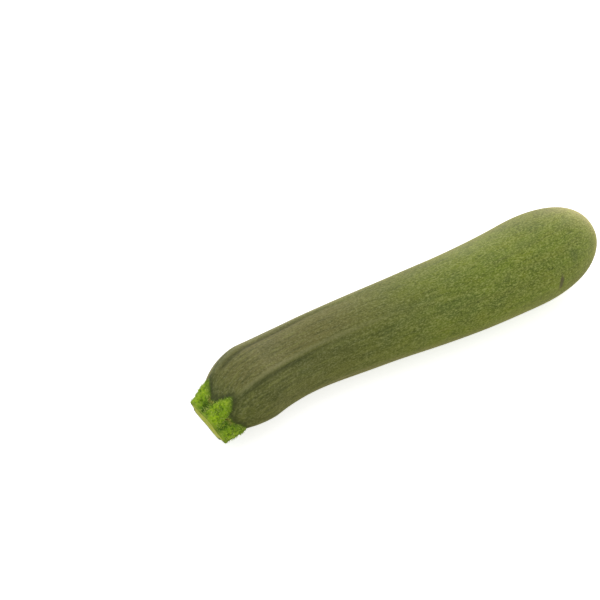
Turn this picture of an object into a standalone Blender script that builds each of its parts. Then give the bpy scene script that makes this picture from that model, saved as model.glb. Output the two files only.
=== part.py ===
"""A courgette as picked, lying on its side: the ribbed fruit, and the cut stub of its stem.

Metres, +Z up. +X runs from the stem end to the blossom end, and the fruit lies on z = 0.
"""

import math

import bmesh
import bpy
import numpy as np

MM = 0.001

# Fruit, along its centre line from its seat under the stem to the blossom tip
FRUIT_LENGTH = 204.0 * MM
WAIST_RADIUS = 14.9 * MM
BELLY_RADIUS = 20.8 * MM
BELLY_START = 24.0 * MM  # where the fruit starts to thicken
NECK_SWELL = 1.7 * MM
NECK_REACH = 48.0 * MM
SHOULDER_LENGTH = 21.0 * MM
SHOULDER_CUT = 6.5 * MM  # how much of the shoulder's full dome the seat cuts off
SHOULDER_SQUARENESS = 1.6
TIP_LENGTH = 44.0 * MM
TIP_SQUARENESS = 2.4

# Bends: the stem end turns aside and droops, and the blossom end turns back
STEM_TURN = math.radians(23.0)
STEM_TURN_REACH = 71.0 * MM
BLOSSOM_TURN = math.radians(10.5)
BLOSSOM_TURN_START = 91.0 * MM
ARCH_HEIGHT = 1.0 * MM
ARCH_NEAR_FOOT = 26.0 * MM
ARCH_TOP = 85.0 * MM
ARCH_FAR_FOOT = 160.0 * MM
STEM_DROOP = 2.2 * MM
STEM_DROOP_REACH = 19.5 * MM
END_TILT_YAW = math.radians(-15.0)
END_TILT_PITCH = math.radians(7.0)
END_TILT_REACH = 45.0 * MM
PRESSED_DEPTH = 0.5 * MM  # how much the fruit's own weight has flattened its underside

# Ribs, by their angle round the centre line from +Y over the top
RIB_ANGLES = [math.radians(a) for a in (64, 130, 201, 272, 346)]
RIB_HEIGHT_AT_STEM = 1.5 * MM
RIB_HEIGHT_MIDWAY = 0.7 * MM
RIB_MIDWAY = 32.0 * MM
RIB_END = 145.0 * MM
RIB_CREST_POWER = 3

# Blossom scar
SCAR_RADIUS = 4.6 * MM
SCAR_DEPTH = 0.9 * MM
SCAR_RIM_HEIGHT = 0.35 * MM

# Stem stub: its cut face, its waist and the crown of five lobes that grips the dome
CUT_OFFSET = 4.9 * MM  # from the seat, along the cut face's normal
CUT_SIDE_SHIFT = -0.5 * MM
CUT_YAW = math.radians(-2.8)
CUT_PITCH = math.radians(24.5)
CUT_RIB_RADIUS = 11.2 * MM
CUT_FURROW_RADIUS = 8.6 * MM
CUT_EDGE_ROUND = 0.7 * MM
CUT_HOLLOW = 0.5 * MM
CROWN_TIP_REACH = 4.8 * MM
CROWN_SINUS_REACH = 1.0 * MM
CROWN_TIP_THICKNESS = 1.4 * MM
CROWN_SINUS_THICKNESS = 0.7 * MM
WAIST_RIB_RADIUS = 10.7 * MM
WAIST_FURROW_RADIUS = 8.2 * MM
GROWTH_GAP = 0.3 * MM  # between the stub and the fruit

# Mesh density
AROUND = 80
SHOULDER_RINGS = 9
BODY_RINGS = 20
TIP_RINGS = 12
SCAR_RINGS = 8
STUB_RINGS = 11
CUT_RINGS = 4
SEAT_RINGS = 4
LINE_STEPS = 600

SKIN_GREEN = (0.095, 0.130, 0.036, 1.0)
STEM_GREEN = (0.165, 0.285, 0.022, 1.0)


def ease(t):
    """A smooth S from 0 to 1 as t goes from 0 to 1."""
    t = np.clip(t, 0, 1)
    return t * t * (3 - 2 * t)


def body_radius(s):
    """The fruit's radius at distance s, without its rounded ends: waist, swollen neck and belly."""
    belly = (BELLY_RADIUS - WAIST_RADIUS) * ease((s - BELLY_START) / (FRUIT_LENGTH - BELLY_START))
    return WAIST_RADIUS + belly + NECK_SWELL * (1 - ease(s / NECK_REACH))


def rounding(s):
    """The share of its radius that the fruit has at s: superellipses at the shoulder and the tip."""
    shoulder = np.clip((SHOULDER_LENGTH - s) / (SHOULDER_LENGTH + SHOULDER_CUT), 0, 1) ** SHOULDER_SQUARENESS
    tip = np.clip(1 - (FRUIT_LENGTH - s) / TIP_LENGTH, 0, 1) ** TIP_SQUARENESS
    return (1 - shoulder) ** (1 / SHOULDER_SQUARENESS) * (1 - tip) ** (1 / TIP_SQUARENESS)


def heading(s):
    """The centre line's direction seen from above."""
    stem = STEM_TURN * (1 - ease(s / STEM_TURN_REACH))
    blossom = BLOSSOM_TURN * ease((s - BLOSSOM_TURN_START) / (FRUIT_LENGTH - BLOSSOM_TURN_START))
    return stem + blossom


def lobes(angle):
    """1 on each rib and 0 midway between two, as a cosine stretched to the ribs' uneven spacing."""
    knots = np.array(RIB_ANGLES + [RIB_ANGLES[0] + 2 * math.pi])
    turned = (angle - knots[0]) % (2 * math.pi) + knots[0]
    phase = np.interp(turned, knots, 2 * math.pi * np.arange(len(knots)))
    return 0.5 + 0.5 * np.cos(phase)


def rib_height(s):
    """How far the ribs stand out at s: most at the stem, less past the neck, and none at the blossom end."""
    neck = RIB_HEIGHT_AT_STEM + (RIB_HEIGHT_MIDWAY - RIB_HEIGHT_AT_STEM) * ease(s / RIB_MIDWAY)
    return neck * (1 - ease((s - RIB_MIDWAY) / (RIB_END - RIB_MIDWAY)))


def rib_swell(s, angle):
    """How far the skin stands out from a plain round body: out on the ribs, and in between them."""
    return rib_height(s) * (lobes(angle) ** RIB_CREST_POWER - 0.5**RIB_CREST_POWER)


def line_height(s):
    """The centre line's height: the way down to the skin, a low arch between two feet, and the droop."""
    rising = 1 - ((ARCH_TOP - s) / (ARCH_TOP - ARCH_NEAR_FOOT)) ** 2
    falling = 1 - ease((s - ARCH_TOP) / (ARCH_FAR_FOOT - ARCH_TOP))
    arch = ARCH_HEIGHT * np.where(s < ARCH_TOP, rising, falling)
    droop = STEM_DROOP * np.clip(1 - s / STEM_DROOP_REACH, 0, 1) ** 2
    down = body_radius(s) + rib_swell(s, np.full_like(s, 1.5 * math.pi))
    return down + arch - droop


def centre_line():
    """Distances along the centre line, its points and its directions, with both ends over the X axis."""
    s = np.linspace(0, FRUIT_LENGTH, LINE_STEPS)
    middle = heading((s[1:] + s[:-1]) / 2)
    step = FRUIT_LENGTH / (LINE_STEPS - 1)
    x = np.concatenate([[0], np.cumsum(step * np.cos(middle))])
    y = np.concatenate([[0], np.cumsum(step * np.sin(middle))])
    chord = math.atan2(y[-1], x[-1])
    straight_x = x * math.cos(chord) + y * math.sin(chord)
    straight_y = y * math.cos(chord) - x * math.sin(chord)
    height = line_height(s)
    near_stem = np.clip(1 - s / END_TILT_REACH, 0, 1) ** 2
    yaw = heading(s) - chord + END_TILT_YAW * near_stem
    pitch = np.arctan(np.gradient(height, s)) + END_TILT_PITCH * near_stem
    return s, np.stack([straight_x, straight_y, height], 1), yaw, pitch


LINE_S, LINE_POINTS, LINE_YAW, LINE_PITCH = centre_line()


def ring_axes(yaw, pitch):
    """A ring's forward, sideways and upward directions."""
    zero = np.zeros_like(yaw)
    forward = np.stack([np.cos(yaw) * np.cos(pitch), np.sin(yaw) * np.cos(pitch), np.sin(pitch)], -1)
    sideways = np.stack([-np.sin(yaw), np.cos(yaw), zero], -1)
    return forward, sideways, np.cross(forward, sideways)


def fruit_surface(s, angle, grown=0.0):
    """Points on the fruit at distances s and angles round it, both arrays of one shape."""
    centre = np.stack([np.interp(s, LINE_S, LINE_POINTS[:, k]) for k in range(3)], -1)
    yaw = np.interp(s, LINE_S, LINE_YAW)
    forward, sideways, upward = ring_axes(yaw, np.interp(s, LINE_S, LINE_PITCH))
    radius = rounding(s) * (body_radius(s) + rib_swell(s, angle)) + grown
    outward = np.cos(angle)[..., None] * sideways + np.sin(angle)[..., None] * upward
    return centre + radius[..., None] * outward - grown * forward


def scar_shift(radius):
    """How far the blossom tip's surface sinks in a dimple, inside a low rim."""
    inside = SCAR_DEPTH * (1 - ease(radius / SCAR_RADIUS))
    rim = SCAR_RIM_HEIGHT * np.exp(-(((radius - SCAR_RADIUS) / (0.35 * SCAR_RADIUS)) ** 2))
    return rim - inside


def fruit_rings():
    """The fruit's rings from the seat to the tip, and the middles of its two ends."""
    shoulder = np.linspace(0, SHOULDER_LENGTH, SHOULDER_RINGS)
    body = np.linspace(SHOULDER_LENGTH, FRUIT_LENGTH - TIP_LENGTH, BODY_RINGS + 2)[1:-1]
    near_scar = 1.5 * SCAR_RADIUS / BELLY_RADIUS
    outer = np.cos(np.linspace(0, math.acos(near_scar), TIP_RINGS))
    share = np.concatenate([outer, np.linspace(near_scar, 0, SCAR_RINGS + 1)[1:-1]])
    tip = FRUIT_LENGTH - TIP_LENGTH * (1 - (1 - share**TIP_SQUARENESS) ** (1 / TIP_SQUARENESS))
    s = np.concatenate([shoulder, body, tip])
    angle = np.linspace(0, 2 * math.pi, AROUND, endpoint=False)
    grid_s, grid_angle = np.meshgrid(s, angle, indexing="ij")
    rings = fruit_surface(grid_s, grid_angle)
    forward = ring_axes(LINE_YAW[-1:], LINE_PITCH[-1:])[0][0]
    radius = rounding(s) * body_radius(s)
    near_tip = s > FRUIT_LENGTH - TIP_LENGTH
    rings += np.where(near_tip, scar_shift(radius), 0)[:, None, None] * forward
    poles = LINE_POINTS[0], LINE_POINTS[-1] + scar_shift(0.0) * forward
    return rings, poles


def cut_frame():
    """The cut face's centre and its three directions. Forward points into the fruit."""
    forward, sideways, upward = (v[0] for v in ring_axes(np.array([CUT_YAW]), np.array([CUT_PITCH])))
    centre = LINE_POINTS[0] - CUT_OFFSET * forward + CUT_SIDE_SHIFT * sideways
    return centre, forward, sideways, upward


def stub_rings():
    """The stub's rings from the middle of its cut face, over the edge, down its ribs and under its crown."""
    angle = np.linspace(0, 2 * math.pi, AROUND, endpoint=False)
    lobe = lobes(angle)
    centre, forward, sideways, upward = cut_frame()
    outward = np.cos(angle)[:, None] * sideways + np.sin(angle)[:, None] * upward

    def star(rib, furrow):
        return (furrow + (rib - furrow) * lobe)[:, None]

    face_radius = star(CUT_RIB_RADIUS, CUT_FURROW_RADIUS) - CUT_EDGE_ROUND
    face = []
    for share in np.linspace(0, 1, CUT_RINGS + 1)[1:]:
        hollow = CUT_HOLLOW * (1 - share**2)
        face.append(centre + share * face_radius * outward + hollow * forward)

    edge = centre + star(CUT_RIB_RADIUS, CUT_FURROW_RADIUS) * outward + CUT_EDGE_ROUND * forward
    reach = CROWN_SINUS_REACH + (CROWN_TIP_REACH - CROWN_SINUS_REACH) * lobe**1.5
    hem = fruit_surface(reach, angle, GROWTH_GAP)
    root = LINE_POINTS[0]
    away = hem - root
    away /= np.linalg.norm(away, axis=1)[:, None]
    thickness = (CROWN_SINUS_THICKNESS + (CROWN_TIP_THICKNESS - CROWN_SINUS_THICKNESS) * lobe)[:, None]
    lip = hem + thickness * (away - forward)
    waist = centre + 0.55 * CUT_OFFSET * forward + star(WAIST_RIB_RADIUS, WAIST_FURROW_RADIUS) * outward
    side = []
    for t in np.linspace(0, 1, STUB_RINGS):
        side.append(
            (1 - t) ** 3 * edge + 3 * (1 - t) ** 2 * t * waist + 3 * (1 - t) * t**2 * lip + t**3 * hem
        )

    seat = []
    for share in np.linspace(1, 0, SEAT_RINGS + 1)[1:]:
        seat.append(fruit_surface(reach * share, angle, GROWTH_GAP))
    rings = np.array(face + side + seat)
    end_forward = ring_axes(LINE_YAW[:1], LINE_PITCH[:1])[0][0]
    poles = centre + CUT_HOLLOW * forward, root - GROWTH_GAP * end_forward
    return rings, poles


def solid(name, rings, poles, colour, roughness, parent):
    """A closed mesh object from rings of points and a point at each end."""
    mesh = bmesh.new()
    grid = [[mesh.verts.new(point) for point in ring] for ring in rings]
    count = len(grid[0])
    for near, far in zip(grid, grid[1:]):
        for k in range(count):
            mesh.faces.new((near[k], near[(k + 1) % count], far[(k + 1) % count], far[k]))
    for pole, ring, turn in ((poles[0], grid[0], -1), (poles[1], grid[-1], 1)):
        tip = mesh.verts.new(pole)
        for k in range(count):
            pair = (ring[k], ring[(k + 1) % count])[::turn]
            mesh.faces.new((*pair, tip))
    bmesh.ops.triangulate(mesh, faces=mesh.faces[:])
    bmesh.ops.recalc_face_normals(mesh, faces=mesh.faces[:])
    data = bpy.data.meshes.new(name)
    mesh.to_mesh(data)
    mesh.free()
    data.shade_smooth()
    data.materials.append(finish(name, colour, roughness))
    made = bpy.data.objects.new(name, data)
    bpy.context.scene.collection.objects.link(made)
    made.parent = parent
    return made


def finish(name, colour, roughness):
    """A plain Principled material of that colour."""
    material = bpy.data.materials.new(name)
    material.use_nodes = True
    shader = material.node_tree.nodes["Principled BSDF"]
    shader.inputs["Base Color"].default_value = colour
    shader.inputs["Roughness"].default_value = roughness
    material.diffuse_color = colour
    return material


def main():
    for old in list(bpy.data.objects):
        bpy.data.objects.remove(old)
    courgette = bpy.data.objects.new("courgette", None)
    bpy.context.scene.collection.objects.link(courgette)

    rings, poles = fruit_rings()
    floor = rings[..., 2].min() + PRESSED_DEPTH
    rings[..., 2] = np.maximum(rings[..., 2], floor)
    solid("fruit", rings, poles, SKIN_GREEN, 0.38, courgette)
    stub, stub_poles = stub_rings()
    solid("stem_stub", stub, stub_poles, STEM_GREEN, 0.6, courgette)

    points = np.concatenate([rings.reshape(-1, 3), stub.reshape(-1, 3)])
    middle = (points.min(0) + points.max(0)) / 2
    courgette.location = (-middle[0], -middle[1], -floor)


main()
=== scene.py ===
"""A courgette as picked: skin, blossom scar, cut stem and bristles, on a white floor in soft light."""

import math

import bpy
import numpy as np
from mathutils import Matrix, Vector


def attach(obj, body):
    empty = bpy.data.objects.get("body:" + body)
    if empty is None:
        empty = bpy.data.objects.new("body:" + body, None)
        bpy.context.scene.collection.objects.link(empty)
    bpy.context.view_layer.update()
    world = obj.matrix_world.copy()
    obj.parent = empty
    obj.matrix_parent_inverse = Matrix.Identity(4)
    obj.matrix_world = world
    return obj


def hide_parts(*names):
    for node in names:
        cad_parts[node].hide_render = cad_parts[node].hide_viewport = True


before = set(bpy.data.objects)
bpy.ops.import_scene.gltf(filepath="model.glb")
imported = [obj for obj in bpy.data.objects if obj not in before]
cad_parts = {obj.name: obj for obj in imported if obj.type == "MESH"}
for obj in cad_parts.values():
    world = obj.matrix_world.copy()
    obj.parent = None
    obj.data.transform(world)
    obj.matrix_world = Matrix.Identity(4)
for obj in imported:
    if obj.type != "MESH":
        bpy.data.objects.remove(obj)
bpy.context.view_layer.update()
MM = 0.001


# The fruit
# One grown body of firm flesh under a thin waxy skin. Five low ribs run down from the stem and fade out
# past the middle. It is a round body with ends rounded as superellipses, bent along its centre line.
FRUIT_LENGTH = 204.0
WAIST_RADIUS = 14.9
BELLY_RADIUS = 20.8
BELLY_START = 24.0
NECK_SWELL = 1.7
NECK_REACH = 48.0
SHOULDER_LENGTH = 21.0
SHOULDER_CUT = 6.5
SHOULDER_SQUARENESS = 1.6
TIP_LENGTH = 44.0
TIP_SQUARENESS = 2.4
STEM_TURN = math.radians(23.0)
STEM_TURN_REACH = 71.0
BLOSSOM_TURN = math.radians(10.5)
BLOSSOM_TURN_START = 91.0
ARCH_HEIGHT = 1.0
ARCH_NEAR_FOOT = 26.0
ARCH_TOP = 85.0
ARCH_FAR_FOOT = 160.0
STEM_DROOP = 2.2
STEM_DROOP_REACH = 19.5
END_TILT_YAW = math.radians(-15.0)
END_TILT_PITCH = math.radians(7.0)
END_TILT_REACH = 45.0
RIB_ANGLES = [math.radians(a) for a in (64, 130, 201, 272, 346)]
RIB_HEIGHT_AT_STEM = 1.5
RIB_HEIGHT_MIDWAY = 0.7
RIB_MIDWAY = 32.0
RIB_END = 145.0
RIB_CREST_POWER = 3
UNDERSIDE = 1.5 * math.pi  # the angle round the fruit that faces the ground
SEAT_PLACE = np.array([-97.258, -0.668, -0.324])  # the seat's middle, from the part's origin
LINE_STEPS = 599


def ease(t):
    """A smooth S from 0 to 1 as t goes from 0 to 1."""
    t = np.clip(t, 0, 1)
    return t * t * (3 - 2 * t)


def body_radius(s):
    """The radius at distance s from the seat without the rounded ends: waist, swollen neck and belly."""
    belly = (BELLY_RADIUS - WAIST_RADIUS) * ease((s - BELLY_START) / (FRUIT_LENGTH - BELLY_START))
    return WAIST_RADIUS + belly + NECK_SWELL * (1 - ease(s / NECK_REACH))


def rounding(s):
    """The share of its radius that the fruit has at s: a superellipse at the shoulder, one at the tip."""
    shoulder = np.clip((SHOULDER_LENGTH - s) / (SHOULDER_LENGTH + SHOULDER_CUT), 0, 1)
    tip = np.clip(1 - (FRUIT_LENGTH - s) / TIP_LENGTH, 0, 1)
    shoulder_share = (1 - shoulder**SHOULDER_SQUARENESS) ** (1 / SHOULDER_SQUARENESS)
    return shoulder_share * (1 - tip**TIP_SQUARENESS) ** (1 / TIP_SQUARENESS)


def heading(s):
    """The centre line's direction seen from above: it turns at the stem end and back at the tip."""
    stem = STEM_TURN * (1 - ease(s / STEM_TURN_REACH))
    return stem + BLOSSOM_TURN * ease((s - BLOSSOM_TURN_START) / (FRUIT_LENGTH - BLOSSOM_TURN_START))


def lobes(angle):
    """1 on each rib and 0 midway between two: a cosine stretched to the ribs' uneven spacing."""
    knots = np.array(RIB_ANGLES + [RIB_ANGLES[0] + 2 * math.pi])
    turned = (angle - knots[0]) % (2 * math.pi) + knots[0]
    return 0.5 + 0.5 * np.cos(np.interp(turned, knots, 2 * math.pi * np.arange(len(knots))))


def rib_height(s):
    """How far the ribs stand out: most at the stem, less past the neck, none at the blossom end."""
    neck = RIB_HEIGHT_AT_STEM + (RIB_HEIGHT_MIDWAY - RIB_HEIGHT_AT_STEM) * ease(s / RIB_MIDWAY)
    return neck * (1 - ease((s - RIB_MIDWAY) / (RIB_END - RIB_MIDWAY)))


def rib_swell(s, angle):
    """How far the skin stands out from a plain round body: out on the ribs, and in between them."""
    return rib_height(s) * (lobes(angle) ** RIB_CREST_POWER - 0.5**RIB_CREST_POWER)


def line_height(s):
    """The centre line's height: the way down to the skin, a low arch between two feet, and the droop."""
    rising = 1 - ((ARCH_TOP - s) / (ARCH_TOP - ARCH_NEAR_FOOT)) ** 2
    falling = 1 - ease((s - ARCH_TOP) / (ARCH_FAR_FOOT - ARCH_TOP))
    arch = ARCH_HEIGHT * np.where(s < ARCH_TOP, rising, falling)
    droop = STEM_DROOP * np.clip(1 - s / STEM_DROOP_REACH, 0, 1) ** 2
    return body_radius(s) + rib_swell(s, np.full_like(s, UNDERSIDE)) + arch - droop


def centre_line():
    """Points of the centre line, its heading summed step by step, with both ends over the X axis."""
    s = np.linspace(0, FRUIT_LENGTH, LINE_STEPS + 1)
    middle = heading((s[1:] + s[:-1]) / 2)
    step = FRUIT_LENGTH / LINE_STEPS
    x = np.concatenate([[0], np.cumsum(step * np.cos(middle))])
    y = np.concatenate([[0], np.cumsum(step * np.sin(middle))])
    chord = math.atan2(y[-1], x[-1])
    height = line_height(s)
    near_stem = np.clip(1 - s / END_TILT_REACH, 0, 1) ** 2
    straight_x = x * math.cos(chord) + y * math.sin(chord)
    straight_y = y * math.cos(chord) - x * math.sin(chord)
    yaw = heading(s) - chord + END_TILT_YAW * near_stem
    pitch = np.arctan(np.gradient(height, s)) + END_TILT_PITCH * near_stem
    return s, np.stack([straight_x, straight_y, height], 1) + SEAT_PLACE, yaw, pitch


LINE_S, LINE_POINTS, LINE_YAW, LINE_PITCH = centre_line()


def ring_axes(yaw, pitch):
    """A ring's forward, sideways and upward directions."""
    forward = np.stack([np.cos(yaw) * np.cos(pitch), np.sin(yaw) * np.cos(pitch), np.sin(pitch)], -1)
    sideways = np.stack([-np.sin(yaw), np.cos(yaw), np.zeros_like(yaw)], -1)
    return forward, sideways, np.cross(forward, sideways)


def fruit_surface(s, angle, grown=0.0, relief=0.0):
    """Points of the fruit at distances s and angles round it: centre line plus radius on each ring."""
    centre = np.stack([np.interp(s, LINE_S, LINE_POINTS[:, k]) for k in range(3)], -1)
    yaw = np.interp(s, LINE_S, LINE_YAW)
    forward, sideways, upward = ring_axes(yaw, np.interp(s, LINE_S, LINE_PITCH))
    radius = rounding(s) * (body_radius(s) + rib_swell(s, angle) + relief) + grown
    outward = np.cos(angle)[..., None] * sideways + np.sin(angle)[..., None] * upward
    return centre + radius[..., None] * outward - grown * forward, radius


# Each rib carries a fine raised line, on or just past its crest, with a shallow groove beside it. What
# shows along a part of the fruit only has four distances: start, rise, the fade's start, the fade's length.
RIDGE_ANGLES = [math.radians(a) for a in (69, 131, 201, 272, 346)]
RIDGE_ALONG = (4, 9, 30, 90)
RIDGE_HEIGHT = 0.25
RIDGE_WIDTH = 0.05  # in radians, as the groove's two are
GROOVE_ALONG = (5, 9, 24, 60)
GROOVE_DEPTH = 0.35
GROOVE_WIDTH = 0.06
GROOVE_PAST_RIDGE = 0.12


def shows_along(s, start, rise, fade_start, fade_length):
    """0 before the start, 1 after the rise, and 0 again at the end of the fade."""
    return ease((s - start) / rise) * (1 - ease((s - fade_start) / fade_length))


def bell(x):
    """1 at 0, falling smoothly on both sides to nearly nothing at 2."""
    return np.exp(-(x**2))


def ridge_offset(angle):
    """The angle from the nearest rib's fine line, positive past it."""
    turn = angle[..., None] - np.array(RIDGE_ANGLES)
    turn = (turn + math.pi) % (2 * math.pi) - math.pi
    nearest = np.abs(turn).argmin(-1)[..., None]
    return np.take_along_axis(turn, nearest, -1)[..., 0]


def rib_ridge(s, angle):
    """The fine raised line: a narrow bell across the rib that fades along the fruit."""
    return shows_along(s, *RIDGE_ALONG) * bell(ridge_offset(angle) / RIDGE_WIDTH)


def rib_groove(s, angle):
    """The shallow groove: a bell a little past the fine line that fades sooner."""
    return shows_along(s, *GROOVE_ALONG) * bell((ridge_offset(angle) - GROOVE_PAST_RIDGE) / GROOVE_WIDTH)


# Painted light and shade on the skin's facets: the top one painted paler, the far upper one painted darker
FACET_LIGHT_AND_SHADE = [-1.1, 1.0, 0.3, 0.5, -0.3, -1.1]  # before the first rib, then past each of the five
FACET_ALONG = (3, 10, 40, 70)
FACET_EDGE = 0.05  # how soft the step at a rib is near the stem, in radians
FACET_EDGE_MORE = 0.25  # how much softer it is far from the stem
FACET_SOFTENS_FROM = 20.0
FACET_SOFTENS_OVER = 80.0


def facet_light_and_shade(s, angle):
    """How much painted light or shade each facet between two ribs gets: steps at the ribs, softer further
    on.
    """
    width = FACET_EDGE + FACET_EDGE_MORE * ease((s - FACET_SOFTENS_FROM) / FACET_SOFTENS_OVER)
    tone = FACET_LIGHT_AND_SHADE[0] + 0 * angle
    for before, past, at in zip(FACET_LIGHT_AND_SHADE, FACET_LIGHT_AND_SHADE[1:], RIDGE_ANGLES):
        tone = tone + (past - before) * ease((angle - at) / width / 2 + 0.5)
    return tone * shows_along(s, *FACET_ALONG)


# The dents' waves: each one's height, its length along the fruit, its turns round it, and its start
DENT_WAVES = [
    (0.07, 17, 2, 0.7),
    (0.06, 11, -3, 2.1),
    (0.05, 23, 5, 4.0),
    (0.04, 7.5, 4, 1.3),
    (0.03, 5.2, -6, 5.2),
]


def slow_dents(s, angle):
    """Slight unevenness of growth: five long waves, each a sine of a sum of s and the angle."""
    total = 0 * angle
    for height, length, turns, start in DENT_WAVES:
        total = total + height * np.sin(s / length + turns * angle + start)
    return total


# The edge of the stem's crown, which greens the skin round it here and ends the stub's side below
CROWN_TIP_REACH = 4.8
CROWN_SINUS_REACH = 1.0
CROWN_LOBE_POWER = 1.5
CROWN_TEETH = 0.35
CROWN_FINE_TEETH = 0.2


def crown_reach(angle):
    """How far down the shoulder the crown reaches: most on the ribs, with two sizes of uneven teeth."""
    teeth = CROWN_TEETH * np.sin(13 * angle + 2 * np.sin(5 * angle))
    fine_teeth = CROWN_FINE_TEETH * np.sin(29 * angle + 1)
    lobe = lobes(angle) ** CROWN_LOBE_POWER
    return CROWN_SINUS_REACH + (CROWN_TIP_REACH - CROWN_SINUS_REACH) * lobe + teeth + fine_teeth


SCAR_RADIUS = 4.6
SCAR_DEPTH = 0.9
SCAR_RIM_HEIGHT = 0.35
SCAR_RIM_WIDTH = 0.35  # as a share of the scar's radius
SCAR_RING_PLACE = 0.62  # likewise
SCAR_RING_HEIGHT = 0.16
SCAR_RING_WIDTH = 0.35
NUB_RADIUS = 1.1
NUB_HEIGHT = 0.55
NUB_TOP_SHARE = 0.55
NUB_SIDE_SHARE = 0.6


def scar_shift(radius, angle):
    """The blossom scar: a ringed dimple inside a low uneven rim, with the style's stump in its middle."""
    edge = SCAR_RADIUS * (1 + 0.05 * np.sin(5 * angle + 0.6) + 0.03 * np.sin(9 * angle))
    inside = SCAR_DEPTH * (1 - ease(radius / edge))
    rim = SCAR_RIM_HEIGHT * bell((radius - edge) / (SCAR_RIM_WIDTH * SCAR_RADIUS))
    ring = SCAR_RING_HEIGHT * bell((radius - SCAR_RING_PLACE * edge) / SCAR_RING_WIDTH)
    nub = NUB_HEIGHT * (1 - ease((radius / NUB_RADIUS - NUB_TOP_SHARE) / NUB_SIDE_SHARE))
    return rim - inside + ring + nub


COLUMNS = 380
SHOULDER_ROWS = 44
BODY_ROWS = 108
TIP_ROWS = 46
SCAR_ROWS = 28
NEAR_SCAR = 1.5 * SCAR_RADIUS / BELLY_RADIUS  # the share of the tip's radius that the scar's rows take


def fruit_rows():
    """Distances of the fruit's rows: close together on the shoulder and round the blossom tip."""
    outer = np.cos(np.linspace(0, math.acos(NEAR_SCAR), TIP_ROWS))
    share = np.concatenate([outer, np.linspace(NEAR_SCAR, 0, SCAR_ROWS)[1:-1]])
    tip = FRUIT_LENGTH - TIP_LENGTH * (1 - (1 - share**TIP_SQUARENESS) ** (1 / TIP_SQUARENESS))
    body = np.linspace(SHOULDER_LENGTH, FRUIT_LENGTH - TIP_LENGTH, BODY_ROWS)[1:-1]
    return np.concatenate([np.linspace(0, SHOULDER_LENGTH, SHOULDER_ROWS), body, tip])


def ring_grid(rows, columns):
    """Each row's value and each column's angle, over a grid of rings."""
    return np.meshgrid(rows, np.linspace(0, 2 * math.pi, columns, endpoint=False), indexing="ij")


def ring_mesh(name, rings, ends, fields):
    """A mesh over closed rings of points, fanned to a point at an end where one is given."""
    rows, columns = rings.shape[:2]
    points = rings.reshape(-1, 3)
    here = np.arange(rows * columns).reshape(rows, columns)
    beside = np.roll(here, -1, 1)
    quads = np.stack([here[:-1], beside[:-1], beside[1:], here[1:]], -1).reshape(-1, 4)
    faces = quads.tolist()
    for end, first, second in ((ends[0], beside[0], here[0]), (ends[1], here[-1], beside[-1])):
        if end is not None:
            tip = np.full(columns, len(points))
            points = np.concatenate([points, [end]])
            faces += np.stack([first, second, tip], -1).tolist()
    data = bpy.data.meshes.new(name)
    data.from_pydata((points * MM).tolist(), [], faces)
    for field, values in fields.items():
        values = values.reshape(rows * columns, -1)
        extra = len(points) - rows * columns
        values = np.concatenate([values, np.repeat(values[-1:], extra, 0)])
        if ends[0] is not None:
            values[rows * columns] = values[0]
        if values.shape[1] == 3:
            data.attributes.new(field, "FLOAT_VECTOR", "POINT").data.foreach_set("vector", values.ravel())
        else:
            data.attributes.new(field, "FLOAT", "POINT").data.foreach_set("value", values.ravel())
    data.shade_smooth()
    made = bpy.data.objects.new(name, data)
    bpy.context.scene.collection.objects.link(made)
    return made


FAR_FROM_TIP = 99.0
s, angle = ring_grid(fruit_rows(), COLUMNS)
ridge = rib_ridge(s, angle)
groove = rib_groove(s, angle)
relief = RIDGE_HEIGHT * ridge - GROOVE_DEPTH * groove + slow_dents(s, angle)
skin_points, skin_radius = fruit_surface(s, angle, relief=relief)
tip_forward = ring_axes(LINE_YAW[-1], LINE_PITCH[-1])[0]
near_tip = s > FRUIT_LENGTH - TIP_LENGTH
skin_points += np.where(near_tip, scar_shift(skin_radius, angle), 0)[..., None] * tip_forward
skin_points[..., 2] = np.maximum(skin_points[..., 2], 0)  # pressed flat where it lies on the ground
tip_point = LINE_POINTS[-1] + scar_shift(0, 0) * tip_forward
fruit = ring_mesh(
    "courgette_skin",
    skin_points,
    (LINE_POINTS[0], tip_point),
    {
        "straight": np.stack([s, skin_radius * np.cos(angle), skin_radius * np.sin(angle)], -1),
        "ridge": ridge,
        "groove": groove,
        "facet": facet_light_and_shade(s, angle),
        "past_crown": s - crown_reach(angle),
        "tip_radius": np.where(near_tip, skin_radius, FAR_FROM_TIP),
    },
)


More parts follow.
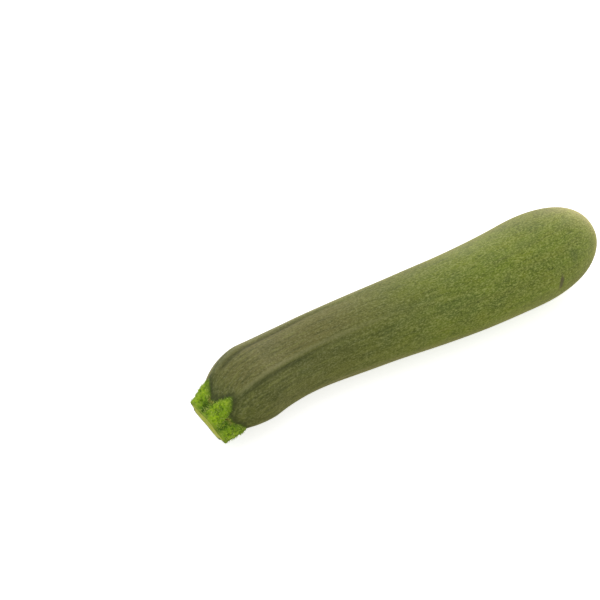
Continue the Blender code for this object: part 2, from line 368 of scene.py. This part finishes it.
class Wire:
    """One socket of a material's nodes. Sums and products on it add the nodes that work them out."""

    def __init__(self, tree, socket):
        self.tree = tree
        self.socket = socket

    def node(self, kind, settings, sockets, out=0):
        """Adds a node to the same material: its settings first, then its sockets' values or links."""
        made = self.tree.nodes.new(kind)
        for name, value in settings.items():
            setattr(made, name, value)
        for name, value in sockets.items():
            if isinstance(value, Wire):
                self.tree.links.new(value.socket, made.inputs[name])
            else:
                made.inputs[name].default_value = value
        return Wire(self.tree, made.outputs[out])

    def math(self, operation, *values):
        """A number worked out from other numbers."""
        return self.node("ShaderNodeMath", {"operation": operation}, dict(enumerate(values)))

    def __add__(self, other):
        return self.math("ADD", self, other)

    def __sub__(self, other):
        return self.math("SUBTRACT", self, other)

    def __rsub__(self, other):
        return self.math("SUBTRACT", other, self)

    def __mul__(self, other):
        return self.math("MULTIPLY", self, other)

    __radd__ = __add__
    __rmul__ = __mul__

    def ease(self, low, high):
        """0 at low and 1 at high, with a smooth S between."""
        ends = {0: self, 1: low, 2: high, 3: 0.0, 4: 1.0}
        return self.node("ShaderNodeMapRange", {"interpolation_type": "SMOOTHSTEP"}, ends)

    def stretch(self, x, y, z):
        """A place with its three directions scaled."""
        return self.node("ShaderNodeVectorMath", {"operation": "MULTIPLY"}, {0: self, 1: (x, y, z)})

    def shift(self, by):
        """A place moved by a fixed step or by another place."""
        return self.node("ShaderNodeVectorMath", {"operation": "ADD"}, {0: self, 1: by})

    def far(self):
        """A place's distance from the origin."""
        return self.node("ShaderNodeVectorMath", {"operation": "LENGTH"}, {0: self}, 1)

    def part(self, which):
        """The first, second or third number of a place or colour."""
        return self.node("ShaderNodeSeparateXYZ", {}, {0: self}, which)

    def noise(self, detail=2.0, roughness=0.5, out=0):
        """Soft clouds from about 0.3 to 0.7, one per unit of the place. Output 1 is three of them."""
        inputs = {"Vector": self, "Scale": 1.0, "Detail": detail, "Roughness": roughness}
        return self.node("ShaderNodeTexNoise", {}, inputs, out)

    def spots(self, size, out=0):
        """Distance to the nearest of points scattered one per cell. Output 1 is three numbers per cell."""
        return self.node("ShaderNodeTexVoronoi", {}, {"Vector": self, "Scale": 1.0 / size}, out)

    def plain(self, colour):
        """A colour that is the same all over, to paint on."""
        made = self.node("ShaderNodeRGB", {}, {})
        made.socket.default_value = colour
        return made

    def paint(self, other, share):
        """This colour with another laid over it, in that share."""
        settings = {"data_type": "RGBA"}
        return self.node("ShaderNodeMix", settings, {0: share, 6: self, 7: other}, 2)

    def coats(self, *layers):
        """This colour with layers laid over it one by one, each a colour and its share."""
        tone = self
        for colour, share in layers:
            tone = tone.paint(colour, share)
        return tone

    def into(self, shader, name):
        """Leads this into one of a shader's sockets."""
        self.tree.links.new(self.socket, shader.inputs[name])

    def relief(self, shader, strength):
        """Leads this, as a height in millimetres, into a shader's normal."""
        heights = {"Strength": strength, "Distance": MM, "Height": self}
        self.node("ShaderNodeBump", {}, heights).into(shader, "Normal")


def finish(name, colour, roughness, reads):
    """A Principled material with its plain colour and roughness, and the attribute its patterns lie on."""
    made = bpy.data.materials.new(name)
    made.use_nodes = True
    tree = made.node_tree
    shader = tree.nodes["Principled BSDF"]
    shader.inputs["Base Color"].default_value = colour
    shader.inputs["Roughness"].default_value = roughness
    source = tree.nodes.new("ShaderNodeAttribute")
    source.attribute_name = reads
    return made, shader, Wire(tree, source.outputs["Vector"])


def attribute(wire, name):
    """Another attribute of the same mesh, as a number."""
    return wire.node("ShaderNodeAttribute", {"attribute_name": name}, {}, 2)


def shade(red, green, blue):
    """A colour from its display values of 0 to 255."""
    parts = [v / 255 for v in (red, green, blue)]
    return (*(v / 12.92 if v < 0.04045 else ((v + 0.055) / 1.055) ** 2.4 for v in parts), 1.0)


NECK_OLIVE = shade(104, 107, 53)
BELLY_GREEN = shade(122, 140, 41)
DEEP_CLOUD = shade(76, 88, 24)
YELLOW_MOTTLE = shade(136, 146, 32)
BLUISH_MOTTLE = shade(86, 102, 60)
# Painted light on the top facets
FACET_PAINTED_LIGHT = shade(126, 114, 64)
# Painted shade on the neck, most on its far upper facet
NECK_PAINTED_SHADE = shade(46, 66, 20)
PALE_BAND = shade(122, 126, 56)
PALE_STREAK = shade(136, 142, 72)
DARK_STREAK = shade(60, 72, 18)
DARK_GRAIN = shade(50, 62, 14)
NECK_FLECK = shade(146, 148, 102)
BELLY_FLECK = shade(166, 176, 96)
RIDGE_PAINTED_HIGHLIGHT = shade(150, 150, 104)
GROOVE_PAINTED_SHADE = shade(50, 58, 22)
CROWN_SHADOW = shade(42, 54, 14)
CROWN_GREEN = shade(96, 126, 22)
SCRATCH_BROWN = shade(88, 82, 60)
BRUISE_GREEN = shade(70, 86, 38)
SCAR_RIM_TAN = shade(134, 122, 74)
SCAR_BROWN = shade(104, 86, 50)
NUB_TAN = shade(150, 132, 92)
GREEN_START = 30.0  # distances from the seat, as the neck's two are
GREEN_FULL = 150.0
NECK_FULL = 25.0
NECK_END = 70.0
FLECK_SPACING = 2.6
FRECKLE_SPACING = 1.3
FRECKLE_SHIFT = (7.3, 2.1, 5.4)  # keeps the freckles' cells clear of the flecks'
SCRATCH_SHIFT = (-167.9, 19.8, 0.3)  # brings the scratch's middle to the origin
BRUISE_SHIFT = (-176.5, 16.6, -7.4)  # likewise the bruise's

# The skin's patterns are laid on the straightened fruit. A stretch is one over a pattern's size in
# millimetres, along the fruit and then twice across it.
skin, skin_shader, place = finish("waxy_skin", shade(104, 112, 56), 0.42, "straight")
along = place.part(0)
greener = along.ease(GREEN_START, GREEN_FULL)
neck = along.ease(NECK_END, NECK_FULL)
facet = attribute(place, "facet")
past_crown = attribute(place, "past_crown")
tip = attribute(place, "tip_radius")
clouds = place.stretch(0.02, 0.07, 0.07).noise(3.0)
mottle = place.stretch(0.09, 0.15, 0.15).noise(2.0)
streaks = place.stretch(0.06, 1.0, 1.0).noise(3.0, 0.6)
bands = place.stretch(0.012, 0.28, 0.28).noise(2.0)
grain = place.stretch(0.9, 1.7, 1.7).noise(3.0, 0.75)
warped = place.stretch(0.6, 1.0, 1.0).shift(place.stretch(0.7, 0.7, 0.7).noise(2.0, 0.5, 1))
chosen = warped.spots(FLECK_SPACING, 1).part(0).ease(0.45, 0.85)
flecks = warped.spots(FLECK_SPACING).ease(0.24, 0.1) * chosen
freckles = warped.shift(FRECKLE_SHIFT).spots(FRECKLE_SPACING).ease(0.42, 0.16) * mottle.ease(0.3, 0.6)
uneven = place.shift(place.stretch(0.6, 0.6, 0.6).noise(2.0, 0.5, 1))
scratch = uneven.shift(SCRATCH_SHIFT).stretch(0.75, 0.1, 0.24).far().ease(1.3, 0.5)
bruise = uneven.shift(BRUISE_SHIFT).stretch(0.36, 0.2, 0.2).far().ease(1.3, 0.2)
paler = place.plain(NECK_FLECK).paint(BELLY_FLECK, greener)
tone = place.plain(NECK_OLIVE).coats(
    (BELLY_GREEN, greener),
    (DEEP_CLOUD, clouds.ease(0.4, 0.65) * 0.4),
    (YELLOW_MOTTLE, mottle.ease(0.5, 0.68) * greener * 0.4),
    (BLUISH_MOTTLE, mottle.ease(0.5, 0.34) * 0.25),
    # Painted light: the top facets paler and khaki
    (FACET_PAINTED_LIGHT, facet * (0.55 - neck * 0.2)),
    # Painted shade: the neck darker, most on its far upper facet
    (NECK_PAINTED_SHADE, neck * (0.25 - facet * 0.5)),
    (PALE_BAND, bands.ease(0.45, 0.7) * 0.3),
    (PALE_STREAK, streaks.ease(0.5, 0.7) * 0.45),
    (DARK_STREAK, streaks.ease(0.5, 0.3) * (0.4 + neck * 0.2)),
    (DARK_GRAIN, grain.ease(0.5, 0.32) * (0.5 + greener * 0.1)),
    (paler, grain.ease(0.5, 0.64) * (0.45 + greener * 0.35)),
    (paler, (flecks * 0.8 + freckles * 0.4) * (0.25 + greener * 0.75)),
    # A painted highlight along each rib's fine line, and painted shade in the groove beside it
    (RIDGE_PAINTED_HIGHLIGHT, attribute(place, "ridge") * 0.4),
    (GROOVE_PAINTED_SHADE, attribute(place, "groove") * 0.6),
    (CROWN_SHADOW, past_crown.ease(3.2, 0.8) * 0.6),
    (CROWN_GREEN, (past_crown + grain * 1.6).ease(1.8, 0.7) * 0.75),
    (SCRATCH_BROWN, scratch * 0.85),
    (BRUISE_GREEN, bruise * 0.4),
    (SCAR_RIM_TAN, tip.ease(6.2, 4.4) * 0.75),
    (SCAR_BROWN, tip.ease(3.4, 2.4) * 0.6),
    (NUB_TAN, tip.ease(1.3, 0.9) * 0.8),
)
tone.into(skin_shader, "Base Color")
worn = 0.36 + streaks * 0.1 + clouds * 0.08 + tip.ease(5.5, 4.2) * 0.3
worn.into(skin_shader, "Roughness")
(grain * 0.16 + streaks * 0.08 + (flecks + freckles) * 0.02).relief(skin_shader, 0.7)
skin_shader.inputs["IOR"].default_value = 1.3
skin_shader.inputs["Sheen Weight"].default_value = 0.4
skin_shader.inputs["Sheen Roughness"].default_value = 0.4
skin_shader.inputs["Sheen Tint"].default_value = (0.96, 0.84, 0.42, 1.0)
fruit.data.materials.append(skin)
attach(fruit, "root")
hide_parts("fruit")


# The stem stub
# The cut end of the fruit's own stalk: juicy green tissue in five blunt ribs, flaring at its foot into a
# crown of five lobes that has grown fast to the shoulder. Its side is one curve from the cut to the crown.
CUT_OFFSET = 4.9
CUT_SIDE_SHIFT = -0.5
CUT_YAW = math.radians(-2.8)
CUT_PITCH = math.radians(24.5)
CUT_RIB_RADIUS = 11.2
CUT_FURROW_RADIUS = 8.6
CUT_EDGE_ROUND = 0.7
WAIST_PLACE = 0.55  # how far from the cut to the seat the waist is
WAIST_RIB_RADIUS = 10.7
WAIST_FURROW_RADIUS = 8.2
CROWN_TIP_THICKNESS = 1.4
CROWN_SINUS_THICKNESS = 0.7
GROWN_IN = 0.06  # how far the crown's edge lies inside the skin, so that no gap shows
STUB_COLUMNS = 400
SIDE_ROWS = 110
EDGE_ROWS = 8
CUT_SMOOTH = 0.12  # the share of the side over which its lumps grow from nothing at the cut
HEM_SMOOTH = 0.2  # and the share over which they die away at the crown's edge
UNDER_TURN = 0.2  # how far round from straight down the stub's darkest side is, in radians

cut_forward, cut_sideways, cut_upward = ring_axes(np.array(CUT_YAW), np.array(CUT_PITCH))
cut_centre = LINE_POINTS[0] - CUT_OFFSET * cut_forward + CUT_SIDE_SHIFT * cut_sideways


def unit(vectors):
    """Each vector at length 1."""
    return vectors / np.maximum(np.linalg.norm(vectors, axis=-1, keepdims=True), 1e-9)


def stub_surface(t, angle):
    """The stub's side, t from 0 at the cut to 1 at the crown's edge: a cubic curve through four points."""
    lobe = lobes(angle)[..., None]
    outward = np.cos(angle)[..., None] * cut_sideways + np.sin(angle)[..., None] * cut_upward
    edge_radius = CUT_FURROW_RADIUS + (CUT_RIB_RADIUS - CUT_FURROW_RADIUS) * lobe
    waist_radius = WAIST_FURROW_RADIUS + (WAIST_RIB_RADIUS - WAIST_FURROW_RADIUS) * lobe
    edge = cut_centre + edge_radius * outward + CUT_EDGE_ROUND * cut_forward
    waist = cut_centre + WAIST_PLACE * CUT_OFFSET * cut_forward + waist_radius * outward
    hem = fruit_surface(crown_reach(angle), angle, -GROWN_IN)[0]
    thickness = CROWN_SINUS_THICKNESS + (CROWN_TIP_THICKNESS - CROWN_SINUS_THICKNESS) * lobe
    lip = hem + thickness * (unit(hem - LINE_POINTS[0]) - cut_forward)
    t = t[..., None]
    return (1 - t) ** 3 * edge + 3 * (1 - t) ** 2 * t * waist + 3 * (1 - t) * t**2 * lip + t**3 * hem


def surface_out(points):
    """Outward directions over a grid of rings, from the slopes along and round it."""
    along = np.gradient(points, axis=0)
    around = (np.roll(points, -1, 1) - np.roll(points, 1, 1)) / 2
    return unit(np.cross(around, along))


def lumps(points, seed, count, shortest, longest, height):
    """Lumps of about a height: a sum of many sines along directions and at lengths thrown at random."""
    dice = np.random.RandomState(seed)
    total = np.zeros(points.shape[:-1])
    for _ in range(count):
        way = dice.normal(0, 1, 3)
        way *= 2 * math.pi / dice.uniform(shortest, longest) / np.linalg.norm(way)
        total += np.sin(points @ way + dice.uniform(0, 2 * math.pi))
    return total * height * math.sqrt(2 / count)


t, angle = ring_grid(np.linspace(0, 1, SIDE_ROWS), STUB_COLUMNS)
side = stub_surface(t, angle)
over = np.linspace(0, math.pi / 2, EDGE_ROWS + 1)[1:, None, None]
edge_out = unit(side[0] - cut_centre - CUT_EDGE_ROUND * cut_forward)
rolled = side[0] - CUT_EDGE_ROUND * ((1 - np.cos(over)) * edge_out + np.sin(over) * cut_forward)
stub_points = np.concatenate([rolled[::-1], side])
t = np.concatenate([np.zeros((EDGE_ROWS, STUB_COLUMNS)), t])
angle = np.concatenate([angle[:EDGE_ROWS], angle])
settled = np.minimum(ease(t / CUT_SMOOTH), ease((1 - t) / HEM_SMOOTH))
bumps = lumps(stub_points, seed=3, count=30, shortest=3.0, longest=6.0, height=0.10)
bumps += lumps(stub_points, seed=4, count=60, shortest=0.9, longest=2.0, height=0.13)
stub_points += (bumps * settled)[..., None] * surface_out(stub_points)
stub = ring_mesh(
    "stem_side",
    stub_points,
    (None, None),
    {
        "straight": stub_points,
        "lobe": lobes(angle),
        "rise": t,
        "bump": bumps,
        "under": 0.5 - 0.5 * np.sin(angle - UNDER_TURN),
    },
)

STALK_GREEN = shade(132, 170, 12)
FURROW_PAINTED_SHADE = shade(62, 104, 4)
RIB_YELLOW = shade(166, 202, 14)
UNDERSIDE_PAINTED_SHADE = shade(84, 100, 26)
PIT_PAINTED_SHADE = shade(66, 96, 8)
LUMP_PALE = shade(184, 208, 60)
FIBRE_DARK = shade(64, 94, 10)
PIMPLE_PALE = shade(188, 208, 96)
HEM_OLIVE_AND_SHADE = shade(86, 110, 30)
SINUS_BROWN = shade(150, 122, 52)
EDGE_PALE = shade(150, 170, 60)
PIMPLE_SPACING = 0.9

stalk, stalk_shader, place = finish("stalk_green", shade(118, 148, 44), 0.5, "straight")
lobe = attribute(place, "lobe")
rise = attribute(place, "rise")
bump = attribute(place, "bump")
under = attribute(place, "under")
fibre = place.stretch(0.5, 1.4, 1.4).noise(3.0, 0.7)
patches = place.stretch(0.3, 0.3, 0.3).noise(3.0)
pimples = place.spots(PIMPLE_SPACING).ease(0.42, 0.12)
tone = place.plain(STALK_GREEN).coats(
    # Painted shade in the furrows between the stalk's ribs
    (FURROW_PAINTED_SHADE, lobe.ease(0.4, 0.0) * 0.75),
    (RIB_YELLOW, lobe.ease(0.35, 0.9) * patches.ease(0.35, 0.6) * 0.8),
    # Painted shade on the stalk's underside
    (UNDERSIDE_PAINTED_SHADE, under.ease(0.35, 0.7) * 0.5),
    # Painted shade in the pits between the lumps
    (PIT_PAINTED_SHADE, bump.ease(0.0, -0.3) * 0.55),
    (LUMP_PALE, bump.ease(0.02, 0.35) * 0.6),
    (FIBRE_DARK, fibre.ease(0.48, 0.3) * 0.55),
    (PIMPLE_PALE, pimples * 0.35),
    # Olive towards the crown's foot, partly the stalk's own colour and partly painted contact shade
    (HEM_OLIVE_AND_SHADE, rise.ease(0.55, 1.0) * 0.75),
    (SINUS_BROWN, rise.ease(0.6, 0.9) * lobe.ease(0.3, 0.05) * 0.6),
    (EDGE_PALE, rise.ease(0.05, 0.0) * 0.5),
)
tone.into(stalk_shader, "Base Color")
(0.48 + patches * 0.2).into(stalk_shader, "Roughness")
(fibre * 0.3 + pimples * 0.15).relief(stalk_shader, 0.7)
stalk_shader.inputs["IOR"].default_value = 1.35
stub.data.materials.append(stalk)
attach(stub, "root")
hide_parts("stem_stub")


# The cut face
# Where a knife took the stalk off: pale wet tissue inside a thin green rind, a ring of strands that carried
# the sap, one pair to a rib, and a greener middle. It is a hollowed disc that follows the stub's edge.
CUT_HOLLOW = 0.5
CUT_ROWS = 55
CUT_ROW_POWER = 0.9  # below 1 it brings the rows a little closer together at the rind
STRANDS = 10
STRAND_RING = 0.62  # as a share of the radius, as the width is
STRAND_WIDTH = 0.07
STRAND_HEIGHT = 0.12
RIPPLE_HEIGHT = 0.05
PATTERN_RADIUS = 10.0

share, angle = ring_grid(np.linspace(0, 1, CUT_ROWS + 1)[1:] ** CUT_ROW_POWER, STUB_COLUMNS)
strands = bell((share - STRAND_RING) / STRAND_WIDTH) * (0.5 + 0.5 * np.cos(STRANDS * angle)) ** 2
ripples = RIPPLE_HEIGHT * np.sin(40 * share + 3 * np.sin(5 * angle))
depth = CUT_HOLLOW * (1 - share**2) + (ripples - STRAND_HEIGHT * strands) * (1 - share)
flat_rim = rolled[-1:] - cut_centre
cut_points = cut_centre + share[..., None] * flat_rim + depth[..., None] * cut_forward
flat_place = [share * PATTERN_RADIUS * np.cos(angle), share * PATTERN_RADIUS * np.sin(angle), 0 * angle]
cut = ring_mesh(
    "stem_cut",
    cut_points,
    (cut_centre + CUT_HOLLOW * cut_forward, None),
    {"straight": np.stack(flat_place, -1), "share": share, "strand": strands},
)

CUT_YELLOW = shade(216, 226, 66)
PITH_PALE = shade(230, 234, 112)
MIDDLE_GREEN = shade(160, 184, 44)
STRAND_GREEN = shade(140, 168, 40)
RIND_GREEN = shade(90, 104, 32)

sap, sap_shader, place = finish("cut_tissue", shade(196, 204, 130), 0.35, "straight")
radius = attribute(place, "share")
pith = place.stretch(1.4, 1.4, 1.4).noise(3.0)
tone = place.plain(CUT_YELLOW).coats(
    (PITH_PALE, pith.ease(0.4, 0.65) * 0.5),
    (MIDDLE_GREEN, radius.ease(0.35, 0.1) * 0.5),
    (STRAND_GREEN, attribute(place, "strand") * 0.7),
    (RIND_GREEN, radius.ease(0.9, 0.96) * 0.95),
)
tone.into(sap_shader, "Base Color")
(pith * 0.3).relief(sap_shader, 0.5)
cut.data.materials.append(sap)
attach(cut, "root")
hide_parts("stem_stub")


# The bristles
# Short stiff hairs that stand all over a courgette's stalk and prick the picker's hand. Each grows out of
# the stalk's side as a thin four-sided spike on a wider foot, and leans its own way.
BRISTLES = 1300
BRISTLE_LEAN = 0.28
BRISTLE_SHORTEST = 0.4
BRISTLE_LONGEST = 1.3
BRISTLE_LEVELS = [(-0.1, 0.16), (0.2, 0.07)]  # its foot and neck: share of the length, half width
BRISTLE_POINTS = 9

dice = np.random.RandomState(11)
row = EDGE_ROWS + (dice.uniform(0.02, 0.98, BRISTLES) * (SIDE_ROWS - 1)).astype(int)
column = dice.randint(0, STUB_COLUMNS, BRISTLES)
foot = stub_points[row, column]
stand = unit(surface_out(stub_points)[row, column] + dice.normal(0, BRISTLE_LEAN, (BRISTLES, 3)))
cross = unit(np.cross(stand, dice.normal(0, 1, (BRISTLES, 3))))
other = np.cross(stand, cross)
length = dice.uniform(BRISTLE_SHORTEST, BRISTLE_LONGEST, BRISTLES)[:, None]
corners = [cross, other, -cross, -other]
points = []
for height, width in BRISTLE_LEVELS:
    points += [foot + height * length * stand + width * way for way in corners]
spikes = np.stack(points + [foot + length * stand], 1)
sides = [(k, (k + 1) % 4, 4 + (k + 1) % 4, 4 + k) for k in range(4)]
tips = [(4 + k, 4 + (k + 1) % 4, 8) for k in range(4)]
starts = range(0, BRISTLES * BRISTLE_POINTS, BRISTLE_POINTS)
faces = [tuple(first + k for k in face) for first in starts for face in sides + tips]
data = bpy.data.meshes.new("stem_bristles")
data.from_pydata((spikes.reshape(-1, 3) * MM).tolist(), [], faces)
data.attributes.new("straight", "FLOAT_VECTOR", "POINT").data.foreach_set("vector", spikes.ravel())
bristles = bpy.data.objects.new("stem_bristles", data)
bpy.context.scene.collection.objects.link(bristles)

BRISTLE_GREEN = shade(140, 172, 36)
BRISTLE_PALE = shade(198, 210, 110)

hair, hair_shader, place = finish("bristle", shade(178, 194, 110), 0.6, "straight")
varied = place.stretch(0.5, 0.5, 0.5).noise()
place.plain(BRISTLE_GREEN).paint(BRISTLE_PALE, varied.ease(0.4, 0.65)).into(hair_shader, "Base Color")
bristles.data.materials.append(hair)
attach(bristles, "root")
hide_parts("stem_stub")


# The floor, the light and the camera
# A plain white floor that throws no light on the fruit, in a white room that glows less and yellower from
# below, with a broad warm lamp high on the far side and a small low one beyond the blossom end.
FLOOR_REACH = 4.0
FLOOR_CORNERS = ((-1, -1), (1, -1), (1, 1), (-1, 1))
data = bpy.data.meshes.new("floor")
data.from_pydata([(x * FLOOR_REACH, y * FLOOR_REACH, 0) for x, y in FLOOR_CORNERS], [], [(0, 1, 2, 3)])
floor = bpy.data.objects.new("floor", data)
bpy.context.scene.collection.objects.link(floor)
white = bpy.data.materials.new("floor_white")
white.use_nodes = True
sheet = white.node_tree.nodes["Principled BSDF"]
sheet.inputs["Base Color"].default_value = (0.9, 0.9, 0.9, 1)
sheet.inputs["Roughness"].default_value = 0.9
sheet.inputs["Emission Color"].default_value = (1, 1, 1, 1)
sheet.inputs["Emission Strength"].default_value = 0.7
floor.data.materials.append(white)
floor.visible_diffuse = False
floor.visible_glossy = False

GLOW_FROM_BELOW = 0.25
GLOW_MORE_ABOVE = 0.5
WHITE = (1, 1, 1, 1)
BOUNCED_YELLOW = (0.97, 0.95, 0.65, 1.0)

world = bpy.data.worlds.new("white_room")
world.use_nodes = True
room = world.node_tree.nodes["Background"]
direction = Wire(world.node_tree, world.node_tree.nodes.new("ShaderNodeTexCoord").outputs["Generated"])
upward = direction.part(2)
seen = direction.node("ShaderNodeLightPath", {}, {})  # 1 for what the camera sees of the room, or else 0
glow = upward.ease(-0.9, -0.3) * GLOW_MORE_ABOVE + GLOW_FROM_BELOW + seen
glow.into(room, "Strength")
direction.plain(WHITE).paint(BOUNCED_YELLOW, upward.ease(0.0, -0.3)).into(room, "Color")
bpy.context.scene.world = world

LAMP_AIM = Vector((0, 0, 0.02))


def soft_light(name, place, size, power, colour):
    """A square lamp that faces the fruit's middle."""
    lamp = bpy.data.lights.new(name, "AREA")
    lamp.size = size
    lamp.energy = power
    lamp.color = colour
    made = bpy.data.objects.new(name, lamp)
    made.location = place
    made.visible_camera = False
    made.rotation_euler = (LAMP_AIM - Vector(place)).to_track_quat("-Z", "Y").to_euler()
    bpy.context.scene.collection.objects.link(made)


WARM_WHITE = (1.0, 0.92, 0.8)
LATE_SUN = (1.0, 0.76, 0.46)
soft_light("overhead", place=(0.55, 0.4, 0.55), size=0.9, power=2.0, colour=WARM_WHITE)
soft_light("beyond_the_tip", place=(0.42, 0.15, 0.05), size=0.25, power=0.55, colour=LATE_SUN)

CAMERA_AIM = Vector((-0.0125, 0.0572, 0.0))
CAMERA_DISTANCE = 0.6345
CAMERA_AZIMUTH = math.radians(-37.3)
CAMERA_ELEVATION = math.radians(35.0)
LENS_LENGTH = 85
SENSOR_WIDTH = 36
back = Vector(
    (
        math.sin(CAMERA_AZIMUTH) * math.cos(CAMERA_ELEVATION),
        -math.cos(CAMERA_AZIMUTH) * math.cos(CAMERA_ELEVATION),
        math.sin(CAMERA_ELEVATION),
    )
)
lens = bpy.data.cameras.new("camera")
lens.lens = LENS_LENGTH
lens.sensor_width = SENSOR_WIDTH
camera = bpy.data.objects.new("camera", lens)
camera.location = CAMERA_AIM + back * CAMERA_DISTANCE
camera.rotation_euler = (-back).to_track_quat("-Z", "Y").to_euler()
bpy.context.scene.collection.objects.link(camera)
bpy.context.scene.camera = camera
bpy.context.scene.view_settings.view_transform = "Standard"
